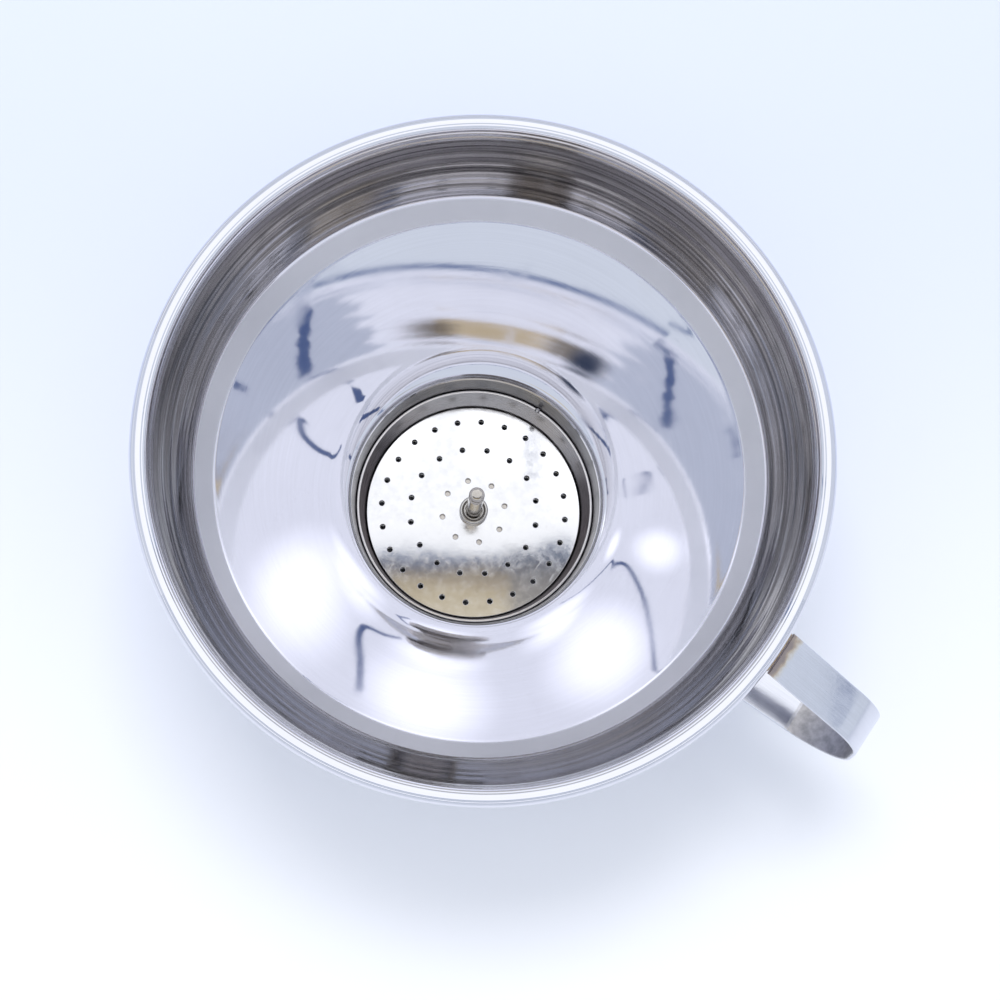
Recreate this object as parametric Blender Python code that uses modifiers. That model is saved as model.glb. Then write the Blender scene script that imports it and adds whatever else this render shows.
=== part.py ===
"""A stainless-steel canning funnel with a strap handle and a drop-in strainer.

Units are metres and +Z is up. The funnel stands on the lower edge of its neck at Z = 0, the handle points along +X,
and the origin is the middle of the whole object's footprint, so the funnel's axis stands at X = AXIS_X.
Heights in the profiles are measured from the rim plane, the level of the rolled rim's widest circle.
"""

from math import asin, atan2, ceil, cos, pi, radians, sin, tan

import bmesh
import bpy
from mathutils import Vector

# Rim, wall, cone and neck. Radii are those of the inner surface, and depths are below the rim plane.
RIM_RADIUS = 0.100
CURL_RADIUS = 0.0026
CURL_END_ANGLE = radians(-130)
SHEET = 0.0008
WALL_BOTTOM_RADIUS = 0.0860
WALL_BOTTOM_DEPTH = 0.0286
WALL_FILLET = 0.005
KNEE_RADIUS = 0.0820
KNEE_DEPTH = 0.0346
KNEE_BEND = 0.050
CONE_SAGITTA = 0.0003
THROAT_RADIUS = 0.0410
THROAT_DEPTH = 0.0765
THROAT_FILLET = 0.006
NECK_RADIUS_AT_DISC = 0.0377
NECK_DEPTH = 0.1069

# Strainer stack, from the top down.
DISC_DEPTH = 0.0990
UPPER_DISC_RADIUS = 0.0361
LOWER_DISC_RADIUS = 0.0356
DISC_THICKNESS = 0.0010
HUB_RADIUS = 0.0125
HUB_THICKNESS = 0.0012
GAP = 0.0003
HOLE_RADIUS = 0.0009
HOLE_RINGS = ((8, 0.0107), (16, 0.02155), (24, 0.0312))

# Centre post and the parts on it.
POST_RADIUS = 0.00255
POST_HEIGHT = 0.030
HEAD_THICKNESS = 0.0020
GROOVE_RADIUS = 0.0018
GROOVE_WIDTH = 0.0011
CHAMFER = 0.0004
TENON_RADIUS = 0.0020
FERRULE_RADIUS = 0.0048
FERRULE_HEIGHT = 0.0026
WASHER_RADIUS = 0.0050
WASHER_THICKNESS = 0.0010
PEEN_RADIUS = 0.0030
PEEN_THICKNESS = 0.0010

# Seat ring in the neck.
SEAT_TOP_DEPTH = 0.0869
SEAT_LEDGE_RADIUS = 0.0330
TACK_ANGLE = radians(91.7)
TACK_RADIUS = 0.0009

# Strap handle. Its centre line starts under the rim, and each corner is (radius, depth, bend radius).
STRAP_WIDTH = 0.0136
STRAP_THICKNESS = 0.0012
STRAP_CORNERS = (
    (0.1009, 0.0034, 0.0),
    (0.1367, 0.0212, 0.020),
    (0.1425, 0.0640, 0.019),
)
STRAP_FOOT_TOP_DEPTH = 0.0640
STRAP_FOOT_END_DEPTH = 0.0715
STRAP_FOOT_BEND = 0.006
HANDLE_REACH = 0.1412
BEAD_RADIUS = 0.0008
BEAD_ANGLE = radians(-48)

AROUND = 64
SMALL_AROUND = 24
HOLE_SIDES = 8
CURL_STEPS = 10
ARC_STEP = radians(18)
CONE_STEPS = 4

AXIS_X = (RIM_RADIUS - HANDLE_REACH) / 2
RIM_PLANE = NECK_DEPTH


def clear_scene():
    for obj in list(bpy.data.objects):
        bpy.data.objects.remove(obj, do_unlink=True)


def new_collection(name):
    collection = bpy.data.collections.new(name)
    bpy.context.scene.collection.children.link(collection)
    return collection


def steel(name, color, roughness):
    material = bpy.data.materials.new(name)
    material.use_nodes = True
    shader = material.node_tree.nodes["Principled BSDF"]
    shader.inputs["Base Color"].default_value = (*color, 1.0)
    shader.inputs["Metallic"].default_value = 1.0
    shader.inputs["Roughness"].default_value = roughness
    return material


def arc(centre, radius, start, end, steps):
    """Points along an arc, both ends included."""
    angles = [start + (end - start) * i / steps for i in range(steps + 1)]
    return [(centre[0] + radius * cos(a), centre[1] + radius * sin(a)) for a in angles]


def fillet(before, corner, after, radius):
    """The points that round one corner of a path with an arc of the given radius."""
    corner_point = Vector(corner)
    to_before = (Vector(before) - corner_point).normalized()
    to_after = (Vector(after) - corner_point).normalized()
    half_angle = to_before.angle(to_after) / 2
    start = corner_point + to_before * (radius / tan(half_angle))
    centre = corner_point + (to_before + to_after).normalized() * (radius / sin(half_angle))
    first = atan2(*(start - centre).yx)
    turn = pi - 2 * half_angle
    side = to_before.x * to_after.y - to_before.y * to_after.x
    sweep = turn if side < 0 else -turn
    return arc(centre, radius, first, first + sweep, max(2, ceil(turn / ARC_STEP)))


def round_corners(corners):
    """A path through (x, y, bend radius) corners, with its ends left sharp."""
    points = [corners[0][:2]]
    for before, corner, after in zip(corners, corners[1:], corners[2:]):
        points += fillet(before[:2], corner[:2], after[:2], corner[2])
    points.append(corners[-1][:2])
    return points


def bowed_line(start, end, sagitta, steps):
    """Points from start to end along a shallow arc that bulges to the right of the way."""
    start, end = Vector(start), Vector(end)
    along = end - start
    bulge = Vector((along.y, -along.x)).normalized() * sagitta
    shares = [i / steps for i in range(steps + 1)]
    return [tuple(start + along * t + bulge * (4 * t * (1 - t))) for t in shares]


def offset_path(path, distance):
    """The path moved to the left of its way by the distance, mitred at its corners."""
    directions = [(Vector(b) - Vector(a)).normalized() for a, b in zip(path, path[1:])]
    moved = []
    for i, point in enumerate(path):
        before = directions[max(i - 1, 0)]
        after = directions[min(i, len(directions) - 1)]
        normal_before = Vector((-before.y, before.x))
        normal_after = Vector((-after.y, after.x))
        middle = (normal_before + normal_after).normalized()
        moved.append(tuple(Vector(point) + middle * (distance / middle.dot(normal_before))))
    return moved


def signed_area(outline):
    return sum(a[0] * b[1] - b[0] * a[1] for a, b in zip(outline, outline[1:] + outline[:1])) / 2


def turned(name, outline, material, collection, steps, on_axis=False):
    """A solid of revolution about the funnel's axis, from (radius, height above the rim plane) points.

    A closed outline makes a ring. With on_axis, the outline's ends lie on the axis and it stays open.
    """
    points = list(outline)
    if not on_axis and signed_area(points) > 0:
        points.reverse()
    mesh = bpy.data.meshes.new(name)
    shape = bmesh.new()
    verts = [shape.verts.new((r, 0.0, z)) for r, z in points]
    for a, b in zip(verts, verts[1:]):
        shape.edges.new((a, b))
    if not on_axis:
        shape.edges.new((verts[-1], verts[0]))
    shape.to_mesh(mesh)
    shape.free()
    obj = bpy.data.objects.new(name, mesh)
    obj.location = (AXIS_X, 0.0, RIM_PLANE)
    screw = obj.modifiers.new("Turn", "SCREW")
    screw.axis = "Z"
    screw.steps = steps
    screw.render_steps = steps
    screw.use_merge_vertices = True
    screw.merge_threshold = 0.00001
    screw.use_smooth_shade = True
    mesh.materials.append(material)
    collection.objects.link(obj)
    return obj


def circle_spline(curve, radius, sides, centre=(0.0, 0.0)):
    spline = curve.splines.new("POLY")
    spline.points.add(sides - 1)
    for i, point in enumerate(spline.points):
        angle = 2 * pi * i / sides
        point.co = (centre[0] + radius * cos(angle), centre[1] + radius * sin(angle), 0.0, 1.0)
    spline.use_cyclic_u = True


def flat_curve(name, thickness, material, collection):
    curve = bpy.data.curves.new(name, "CURVE")
    curve.dimensions = "2D"
    curve.fill_mode = "BOTH"
    curve.extrude = thickness / 2
    curve.materials.append(material)
    obj = bpy.data.objects.new(name, curve)
    collection.objects.link(obj)
    return obj


def hole_centres():
    for count, ring_radius in HOLE_RINGS:
        for i in range(count):
            angle = 2 * pi * i / count
            yield ring_radius * cos(angle), ring_radius * sin(angle)


def strainer_disc(name, radius, top_depth, centre_hole, material, collection):
    """A flat round plate with three rings of drain holes and a hole for the post."""
    disc = flat_curve(name, DISC_THICKNESS, material, collection)
    circle_spline(disc.data, radius, AROUND)
    circle_spline(disc.data, centre_hole, SMALL_AROUND)
    for centre in hole_centres():
        circle_spline(disc.data, HOLE_RADIUS, HOLE_SIDES, centre)
    disc.location = (AXIS_X, 0.0, RIM_PLANE - top_depth - DISC_THICKNESS / 2)
    return disc


def bead(name, points, radius, material, collection):
    """A weld bead: a thin round bar along the points, which are (x, y, z) from the axis at the rim plane."""
    curve = bpy.data.curves.new(name, "CURVE")
    curve.dimensions = "3D"
    curve.bevel_depth = radius
    curve.bevel_resolution = 2
    curve.use_fill_caps = True
    curve.materials.append(material)
    spline = curve.splines.new("POLY")
    spline.points.add(len(points) - 1)
    for target, point in zip(spline.points, points):
        target.co = (*point, 1.0)
    obj = bpy.data.objects.new(name, curve)
    obj.location = (AXIS_X, 0.0, RIM_PLANE)
    collection.objects.link(obj)
    return obj


def neck_radius(depth):
    """Inner radius of the neck's tapered wall at a depth."""
    taper = (THROAT_RADIUS - NECK_RADIUS_AT_DISC) / (DISC_DEPTH - THROAT_DEPTH)
    return NECK_RADIUS_AT_DISC + taper * (DISC_DEPTH - depth)


def inner_surface():
    """The funnel's inner surface as a path, from the rolled rim's free end over the rim and down to the neck's edge."""
    curl_centre = (RIM_RADIUS - CURL_RADIUS, 0.0)
    to_corner = Vector((WALL_BOTTOM_RADIUS, -WALL_BOTTOM_DEPTH)) - Vector(curl_centre)
    corner_angle = atan2(to_corner.y, to_corner.x)
    wall_start_angle = (corner_angle - (pi / 2 - asin(CURL_RADIUS / to_corner.length))) % (2 * pi)
    curl = arc(curl_centre, CURL_RADIUS, CURL_END_ANGLE, wall_start_angle, CURL_STEPS)
    wall_corner = (WALL_BOTTOM_RADIUS, -WALL_BOTTOM_DEPTH)
    knee = (KNEE_RADIUS, -KNEE_DEPTH)
    throat_corner = (THROAT_RADIUS, -THROAT_DEPTH)
    neck_end = (neck_radius(NECK_DEPTH), -NECK_DEPTH)
    cone = bowed_line(knee, throat_corner, CONE_SAGITTA, CONE_STEPS)
    wall_bend = fillet(curl[-1], wall_corner, knee, WALL_FILLET)
    knee_bend = fillet(wall_corner, knee, cone[1], KNEE_BEND)
    throat_bend = fillet(cone[-2], throat_corner, neck_end, THROAT_FILLET)
    return curl + wall_bend + knee_bend + cone[1:-1] + throat_bend + [neck_end]


def outer_surface():
    """The sheet's other face, from the neck's edge back up to the rolled rim's free end."""
    outside = offset_path(inner_surface(), SHEET)
    taper = (outside[-2][0] - outside[-1][0]) / (outside[-2][1] - outside[-1][1])
    level_end = (outside[-1][0] - taper * (outside[-1][1] + NECK_DEPTH), -NECK_DEPTH)
    return [level_end] + outside[-2::-1]


def outer_point(depth):
    """The point of the cone's outer face at a depth, and the way up along that face."""
    path = [Vector(point) for point in outer_surface()]
    for low, high in zip(path, path[1:]):
        if low.y <= -depth <= high.y:
            share = (-depth - low.y) / (high.y - low.y)
            return low.lerp(high, share), (high - low).normalized()
    raise ValueError(f"no point of the outer face lies {depth} below the rim")


def off_cone(depth, distance):
    """The (radius, height) point at a distance straight out from the cone's outer face."""
    point, upward = outer_point(depth)
    return point + Vector((upward.y, -upward.x)) * distance


def funnel_body(material, collection):
    """One spun sheet: rolled rim, tapered wall band, cone, rounded throat and neck skirt."""
    outline = inner_surface() + outer_surface()
    return turned("funnel_body", outline, material, collection, AROUND)


def seat_ring(material, collection):
    """An L-section ring in the lower neck, whose ledge carries the strainer."""
    ledge_top = DISC_DEPTH + 2 * DISC_THICKNESS + HUB_THICKNESS + 3 * GAP
    bottom = ledge_top + SHEET
    outline = [
        (neck_radius(SEAT_TOP_DEPTH) - GAP - SHEET, -SEAT_TOP_DEPTH),
        (neck_radius(SEAT_TOP_DEPTH) - GAP, -SEAT_TOP_DEPTH),
        (neck_radius(bottom) - GAP, -bottom),
        (SEAT_LEDGE_RADIUS, -bottom),
        (SEAT_LEDGE_RADIUS, -ledge_top),
        (neck_radius(ledge_top) - GAP - SHEET, -ledge_top),
    ]
    return turned("seat_ring", outline, material, collection, AROUND)


def seat_ring_tack_weld(material, collection):
    """A small weld on the neck wall, just above the seat ring's top edge."""
    radius = neck_radius(SEAT_TOP_DEPTH) - GAP - TACK_RADIUS
    reach = TACK_RADIUS / radius
    points = []
    for share in (-1.0, 0.0, 1.0):
        angle = TACK_ANGLE + share * reach
        height = -SEAT_TOP_DEPTH + GAP + TACK_RADIUS
        points.append((radius * cos(angle), radius * sin(angle), height))
    return bead("seat_ring_tack_weld", points, TACK_RADIUS, material, collection)


def strap_outline():
    """The strap's side view as a closed outline of (radius, height above the rim plane)."""
    half = STRAP_THICKNESS / 2
    foot_top = off_cone(STRAP_FOOT_TOP_DEPTH, GAP + half)
    foot_end = off_cone(STRAP_FOOT_END_DEPTH, GAP + half)
    corners = [(r, -depth, bend) for r, depth, bend in STRAP_CORNERS]
    corners += [(foot_top.x, -STRAP_FOOT_TOP_DEPTH, STRAP_FOOT_BEND), (*foot_end, 0.0)]
    path = round_corners(corners)
    return offset_path(path, half) + offset_path(path, -half)[::-1]


def handle_strap(material, collection):
    """A flat strap bent into an open ear: out from under the rim, down, and back to the cone."""
    strap = flat_curve("handle_strap", STRAP_WIDTH, material, collection)
    outline = strap_outline()
    spline = strap.data.splines.new("POLY")
    spline.points.add(len(outline) - 1)
    for target, (r, z) in zip(spline.points, outline):
        target.co = (r, z, 0.0, 1.0)
    spline.use_cyclic_u = True
    strap.rotation_euler = (pi / 2, 0.0, 0.0)
    strap.location = (AXIS_X, 0.0, RIM_PLANE)
    return strap


def ring_bead(name, ring_radius, height, material, collection):
    """A weld bead across the strap's width that follows the funnel's round."""
    half_angle = (STRAP_WIDTH / 2 - BEAD_RADIUS) / ring_radius
    points = []
    for share in (-1.0, -0.5, 0.0, 0.5, 1.0):
        angle = share * half_angle
        points.append((ring_radius * cos(angle), ring_radius * sin(angle), height))
    return bead(name, points, BEAD_RADIUS, material, collection)


def handle_welds(material, collection):
    """The bead between the rolled rim and the strap's top end, and the one below its foot on the cone."""
    reach = CURL_RADIUS + GAP + BEAD_RADIUS
    top_radius = RIM_RADIUS - CURL_RADIUS + reach * cos(BEAD_ANGLE)
    ring_bead("handle_upper_weld", top_radius, reach * sin(BEAD_ANGLE), material, collection)
    low = off_cone(STRAP_FOOT_END_DEPTH + 2 * BEAD_RADIUS, 2 * GAP + BEAD_RADIUS)
    ring_bead("handle_lower_weld", low.x, low.y, material, collection)


def post_profile():
    """The post from its domed head down to the peened end of its tenon, as (radius, height) points."""
    disc_top = -DISC_DEPTH
    top = disc_top + POST_HEIGHT
    groove_top = top - HEAD_THICKNESS
    groove_bottom = groove_top - GROOVE_WIDTH
    hub_top = disc_top - DISC_THICKNESS - GAP
    hub_bottom = hub_top - HUB_THICKNESS
    washer_bottom = hub_bottom - DISC_THICKNESS - WASHER_THICKNESS - 2 * GAP
    peen_top = washer_bottom - GAP
    return [
        (0.0, top),
        (POST_RADIUS - 2 * CHAMFER, top),
        (POST_RADIUS, top - CHAMFER),
        (POST_RADIUS, groove_top),
        (GROOVE_RADIUS, groove_top - CHAMFER),
        (GROOVE_RADIUS, groove_bottom),
        (POST_RADIUS, groove_bottom - CHAMFER),
        (POST_RADIUS, hub_top),
        (HUB_RADIUS, hub_top),
        (HUB_RADIUS, hub_bottom),
        (TENON_RADIUS, hub_bottom),
        (TENON_RADIUS, peen_top),
        (PEEN_RADIUS, peen_top),
        (PEEN_RADIUS - CHAMFER, peen_top - PEEN_THICKNESS),
        (0.0, peen_top - PEEN_THICKNESS),
    ]


def strainer_post(material, collection):
    """The grooved centre post with the wide hub that the upper disc rests on."""
    return turned("strainer_post", post_profile(), material, collection, SMALL_AROUND, on_axis=True)


def post_washer(material, collection):
    """The washer under the lower disc, held by the peened end of the post."""
    top = -(DISC_DEPTH + 2 * DISC_THICKNESS + HUB_THICKNESS + 3 * GAP)
    bore = TENON_RADIUS + GAP
    outline = [
        (WASHER_RADIUS, top),
        (WASHER_RADIUS, top - WASHER_THICKNESS),
        (bore, top - WASHER_THICKNESS),
        (bore, top),
    ]
    return turned("post_washer", outline, material, collection, SMALL_AROUND)


def post_ferrule(material, collection):
    """The collar fixed on the upper disc, which guides it on the post. Its top is dished."""
    bottom = -DISC_DEPTH + GAP
    top = bottom + FERRULE_HEIGHT
    bore = POST_RADIUS + GAP
    outline = [
        (FERRULE_RADIUS - CHAMFER, top),
        (FERRULE_RADIUS, top - CHAMFER),
        (FERRULE_RADIUS, bottom),
        (bore, bottom),
        (bore, top - 2 * CHAMFER),
        (FERRULE_RADIUS - 2 * CHAMFER, top - CHAMFER / 2),
    ]
    return turned("post_ferrule", outline, material, collection, SMALL_AROUND)


def build():
    clear_scene()
    parts = new_collection("canning_funnel")
    polished = steel("polished_steel", (0.78, 0.78, 0.80), 0.08)
    satin = steel("satin_steel", (0.60, 0.60, 0.61), 0.25)
    strap_steel = steel("strap_steel", (0.72, 0.73, 0.76), 0.15)
    weld = steel("weld_steel", (0.55, 0.48, 0.38), 0.45)
    funnel_body(polished, parts)
    seat_ring(satin, parts)
    seat_ring_tack_weld(weld, parts)
    handle_strap(strap_steel, parts)
    handle_welds(weld, parts)
    lower_top = DISC_DEPTH + DISC_THICKNESS + HUB_THICKNESS + 2 * GAP
    strainer_disc("upper_strainer_disc", UPPER_DISC_RADIUS, DISC_DEPTH, POST_RADIUS + GAP, polished, parts)
    strainer_disc("lower_strainer_disc", LOWER_DISC_RADIUS, lower_top, TENON_RADIUS + GAP, polished, parts)
    strainer_post(satin, parts)
    post_ferrule(satin, parts)
    post_washer(satin, parts)


build()
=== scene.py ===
"""Looks for the canning funnel: polished, satin and heat-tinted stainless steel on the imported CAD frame."""

from math import asin, atan2, ceil, cos, pi, radians, sin, tan

import bmesh
import bpy
import numpy as np
from mathutils import Matrix, Vector


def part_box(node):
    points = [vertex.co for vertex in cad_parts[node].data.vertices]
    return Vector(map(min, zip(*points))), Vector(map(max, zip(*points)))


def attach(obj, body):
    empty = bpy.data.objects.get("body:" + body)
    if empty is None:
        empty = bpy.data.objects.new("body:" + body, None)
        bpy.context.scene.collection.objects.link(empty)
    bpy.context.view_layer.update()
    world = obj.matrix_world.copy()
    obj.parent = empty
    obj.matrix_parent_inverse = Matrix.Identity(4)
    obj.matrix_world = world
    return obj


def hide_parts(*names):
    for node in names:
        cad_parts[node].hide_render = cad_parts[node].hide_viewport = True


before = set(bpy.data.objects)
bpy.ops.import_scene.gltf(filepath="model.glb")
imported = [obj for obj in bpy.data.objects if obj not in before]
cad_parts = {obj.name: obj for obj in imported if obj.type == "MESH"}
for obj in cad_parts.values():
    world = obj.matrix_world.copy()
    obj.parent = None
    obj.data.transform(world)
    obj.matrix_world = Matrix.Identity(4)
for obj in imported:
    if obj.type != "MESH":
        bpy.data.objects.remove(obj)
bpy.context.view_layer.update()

# ---------------------------------------------------------------------------------------------------------
# Places and sizes in metres. Those that the CAD's boxes hold are read from them. The rest repeat the CAD,
# but for the knee, the cone and the throat, which follow what the steel mirrors in the photograph.

DISC_LOW, DISC_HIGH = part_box("upper_strainer_disc")
LOWER_LOW, LOWER_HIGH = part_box("lower_strainer_disc")
_, SEAT_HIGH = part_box("seat_ring")
POST_LOW, POST_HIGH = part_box("strainer_post")
FERRULE_LOW, FERRULE_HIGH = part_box("post_ferrule")
WASHER_LOW, WASHER_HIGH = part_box("post_washer")
STRAP_LOW, STRAP_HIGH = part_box("handle_strap")
TACK_LOW, TACK_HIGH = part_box("seat_ring_tack_weld")

AXIS_X = (DISC_LOW.x + DISC_HIGH.x) / 2
DISC_DEPTH = 0.0990
RIM_PLANE = DISC_HIGH.z + DISC_DEPTH
DISC_THICKNESS = DISC_HIGH.z - DISC_LOW.z
GAP = 0.0003
SHEET = 0.0008

RIM_RADIUS = 0.100
CURL_RADIUS = 0.0026
CURL_END_ANGLE = radians(-130)
WALL_CORNER = (0.0860, 0.0286)
WALL_FILLET = 0.0050
KNEE_CORNER = (0.0808, 0.0364)
KNEE_BEND = 0.0120
CONE_SAGITTA = -0.0002
THROAT_CORNER = (0.0410, 0.0765)
THROAT_FILLET = 0.0030
FLARE_RADIUS = 0.0490
FLARE_RISE = 0.0013
NECK_RADIUS_AT_DISC = 0.0377
NECK_DEPTH = RIM_PLANE
LIP_WIDTH = 0.0016
LIP_HEIGHT = 0.00022

WALL_RING = 0.000012
WALL_RING_PITCH = 0.0062
FINE_RING = 0.000002
FINE_RING_PITCH = 0.0021
# (distance down the wall, height, half width) of each step
SHOULDER_STEPS = ((0.0014, 0.00007, 0.0009), (0.0034, 0.00006, 0.0010))
CREASE_DEPTH = 0.00012
CREASE_HALF_ANGLE = radians(9)
CREASE_ANGLES = (radians(62), radians(118))

DISC_EDGE = 0.00016
HOLE_RADIUS = 0.0009
# (count, radius) of each ring
HOLE_RINGS = ((8, 0.0107), (16, 0.02155), (24, 0.0312))
POST_RADIUS = 0.00255
POST_TIP = 0.0020
GROOVE_RADIUS = 0.0018
GROOVE_WIDTH = 0.0011
HUB_RADIUS = 0.0125
HUB_THICKNESS = 0.0012
TENON_RADIUS = 0.0020
PEEN_RADIUS = 0.0030
SEAT_LEDGE_RADIUS = 0.0330

STRAP_WIDTH = STRAP_HIGH.y - STRAP_LOW.y
STRAP_THICKNESS = 0.0012
# (radius, depth, bend) of the strap's middle line
STRAP_CORNERS = ((0.1009, 0.0034, 0.0), (0.1367, 0.0212, 0.020), (0.1425, 0.0640, 0.019))
STRAP_FOOT_TOP_DEPTH = 0.0640
STRAP_FOOT_END_DEPTH = 0.0715
STRAP_FOOT_BEND = 0.006
BEAD_RADIUS = 0.0008
BEAD_ANGLE = radians(-48)

# Depths below the rim plane over which the steel's finish changes.
WALL_STARTS = (0.0012, 0.0034)
WALL_ENDS = (0.0272, 0.0290)
BAND_STARTS = (0.0290, 0.0300)
BAND_ENDS = (KNEE_CORNER[1] - 0.0003, KNEE_CORNER[1] + 0.0003)
THROAT_STARTS = (0.0743, 0.0749)
LIP_STARTS = (0.0764, 0.0770)
LIP_ENDS = (0.0782, 0.0788)

# How slanted the view is, from 0 to 1, over which painted shade takes drawn steel from bright to dark.
WALL_SLANT = (0.14, 0.34)
NECK_SLANT = (0.42, 0.58)
SEAT_SLANT = (0.60, 0.67)

AROUND = 288
FINE_ARC = radians(4)

# The set, with places and heights in rim radii, and the camera, in metres.
SET_TURN = radians(34.7)
SOFTBOX_HEIGHT = 11.0
SOFTBOX_GLOW = 1.35
PANEL_GLOW = 2.0
LOW = 0.06
MIDDLE = 0.2
HIGH = 0.5
KEY_POWER = 9.0
KEY_SIZE = 0.5
KEY_PLACE = (-0.4, 2.4, 10.9)

VIEW_AZIMUTH = radians(19.38)
VIEW_ELEVATION = radians(78.78)
VIEW_DISTANCE = 0.4774
VIEW_ROLL = radians(15.6)
VIEW_TARGET = (AXIS_X + 0.01163, -0.01011, RIM_PLANE)
LENS = 61.2


# ---------------------------------------------------------------------------------------------------------
# Outlines, as (radius, height above the rim plane) points.

def arc(centre, radius, start, end, step=FINE_ARC):
    count = max(2, ceil(abs(end - start) / step))
    angles = np.linspace(start, end, count + 1)
    return [(centre[0] + radius * cos(a), centre[1] + radius * sin(a)) for a in angles]


def fillet(before, corner, after, radius, step=FINE_ARC):
    """The points that round one corner of a path."""
    middle = Vector(corner)
    to_before = (Vector(before) - middle).normalized()
    to_after = (Vector(after) - middle).normalized()
    half = to_before.angle(to_after) / 2
    start = middle + to_before * (radius / tan(half))
    centre = middle + (to_before + to_after).normalized() * (radius / sin(half))
    first = atan2(start.y - centre.y, start.x - centre.x)
    turn = pi - 2 * half
    sweep = turn if to_before.x * to_after.y - to_before.y * to_after.x < 0 else -turn
    return arc(centre, radius, first, first + sweep, step)


def line(start, end, pitch):
    """Points from start to end, both left out."""
    start, end = Vector(start), Vector(end)
    count = max(1, round((end - start).length / pitch))
    return [tuple(start.lerp(end, i / count)) for i in range(1, count)]


def bowed_line(start, end, sagitta, count):
    """Points from start to end along a shallow arc that bulges to the right of the way."""
    start, end = Vector(start), Vector(end)
    along = end - start
    bulge = Vector((along.y, -along.x)).normalized() * sagitta
    return [tuple(start + along * t + bulge * (4 * t * (1 - t))) for t in np.linspace(0, 1, count + 1)]


def offset_path(path, distance):
    """The path moved to the left of its way, mitred at its corners."""
    ways = [(Vector(b) - Vector(a)).normalized() for a, b in zip(path, path[1:])]
    moved = []
    for i, point in enumerate(path):
        before, after = ways[max(i - 1, 0)], ways[min(i, len(ways) - 1)]
        normal_before = Vector((-before.y, before.x))
        middle = (normal_before + Vector((-after.y, after.x))).normalized()
        moved.append(tuple(Vector(point) + middle * (distance / middle.dot(normal_before))))
    return moved


def rounded(corners, step=radians(15)):
    """A closed outline through (radius, height, bend) corners."""
    points = []
    count = len(corners)
    for i, (r, z, bend) in enumerate(corners):
        if bend:
            before, after = corners[i - 1], corners[(i + 1) % count]
            points += fillet(before[:2], (r, z), after[:2], bend, step)
        else:
            points.append((r, z))
    return points


def neck_radius(depth):
    taper = (THROAT_CORNER[0] - NECK_RADIUS_AT_DISC) / (DISC_DEPTH - THROAT_CORNER[1])
    return NECK_RADIUS_AT_DISC + taper * (DISC_DEPTH - depth)


# ---------------------------------------------------------------------------------------------------------
# Meshes.

def add_piece(name, mesh, material, body, replaced):
    mesh.materials.clear()
    mesh.materials.append(material)
    piece = bpy.data.objects.new(name, mesh)
    bpy.context.scene.collection.objects.link(piece)
    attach(piece, body)
    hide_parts(replaced)
    return piece


def closed_mesh(name, verts, faces, sharp=radians(50)):
    """A mesh with merged points, outward normals and smooth shading up to the sharp angle."""
    mesh = bpy.data.meshes.new(name)
    mesh.from_pydata(verts, [], faces)
    shape = bmesh.new()
    shape.from_mesh(mesh)
    bmesh.ops.remove_doubles(shape, verts=shape.verts, dist=1e-7)
    bmesh.ops.recalc_face_normals(shape, faces=shape.faces)
    shape.to_mesh(mesh)
    shape.free()
    mesh.shade_smooth()
    mesh.set_sharp_from_angle(angle=sharp)
    return mesh


def turned_mesh(name, outline, steps, on_axis=False, sharp=radians(50)):
    """A solid of revolution about the funnel's axis. With on_axis, an open outline ends on the axis."""
    rows = len(outline)
    turn = np.arange(steps) * (2 * pi / steps)
    verts = [(AXIS_X + r * cos(a), r * sin(a), RIM_PLANE + z) for r, z in outline for a in turn]
    faces = []
    for i in range(rows - 1 if on_axis else rows):
        j = (i + 1) % rows
        for k in range(steps):
            m = (k + 1) % steps
            face = [i * steps + k, j * steps + k, j * steps + m, i * steps + m]
            if outline[i][0] == 0.0:
                face = face[:3]
            elif outline[j][0] == 0.0:
                face = [face[0], face[1], face[3]]
            faces.append(face)
    return closed_mesh(name, verts, faces, sharp)


def swept_mesh(name, frames, section, sharp=radians(50)):
    """A section of (across, along) points carried through (centre, across, along) frames, closed flat."""
    count = len(section)
    verts = [tuple(c + u * a + v * b) for c, u, v in frames for a, b in section]
    faces = []
    for i in range(len(frames) - 1):
        for k in range(count):
            m = (k + 1) % count
            faces.append((i * count + k, i * count + m, (i + 1) * count + m, (i + 1) * count + k))
    faces.append(tuple(range(count))[::-1])
    faces.append(tuple((len(frames) - 1) * count + k for k in range(count)))
    return closed_mesh(name, verts, faces, sharp)


def round_box(half_u, half_v, radius, steps=4):
    """A rounded rectangle as a section."""
    points = []
    for quarter, (su, sv) in enumerate(((1, 1), (-1, 1), (-1, -1), (1, -1))):
        centre = (su * (half_u - radius), sv * (half_v - radius))
        for s in range(steps + 1):
            angle = (quarter + s / steps) * pi / 2
            points.append((centre[0] + radius * cos(angle), centre[1] + radius * sin(angle)))
    return points


# ---------------------------------------------------------------------------------------------------------
# Materials.

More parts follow.
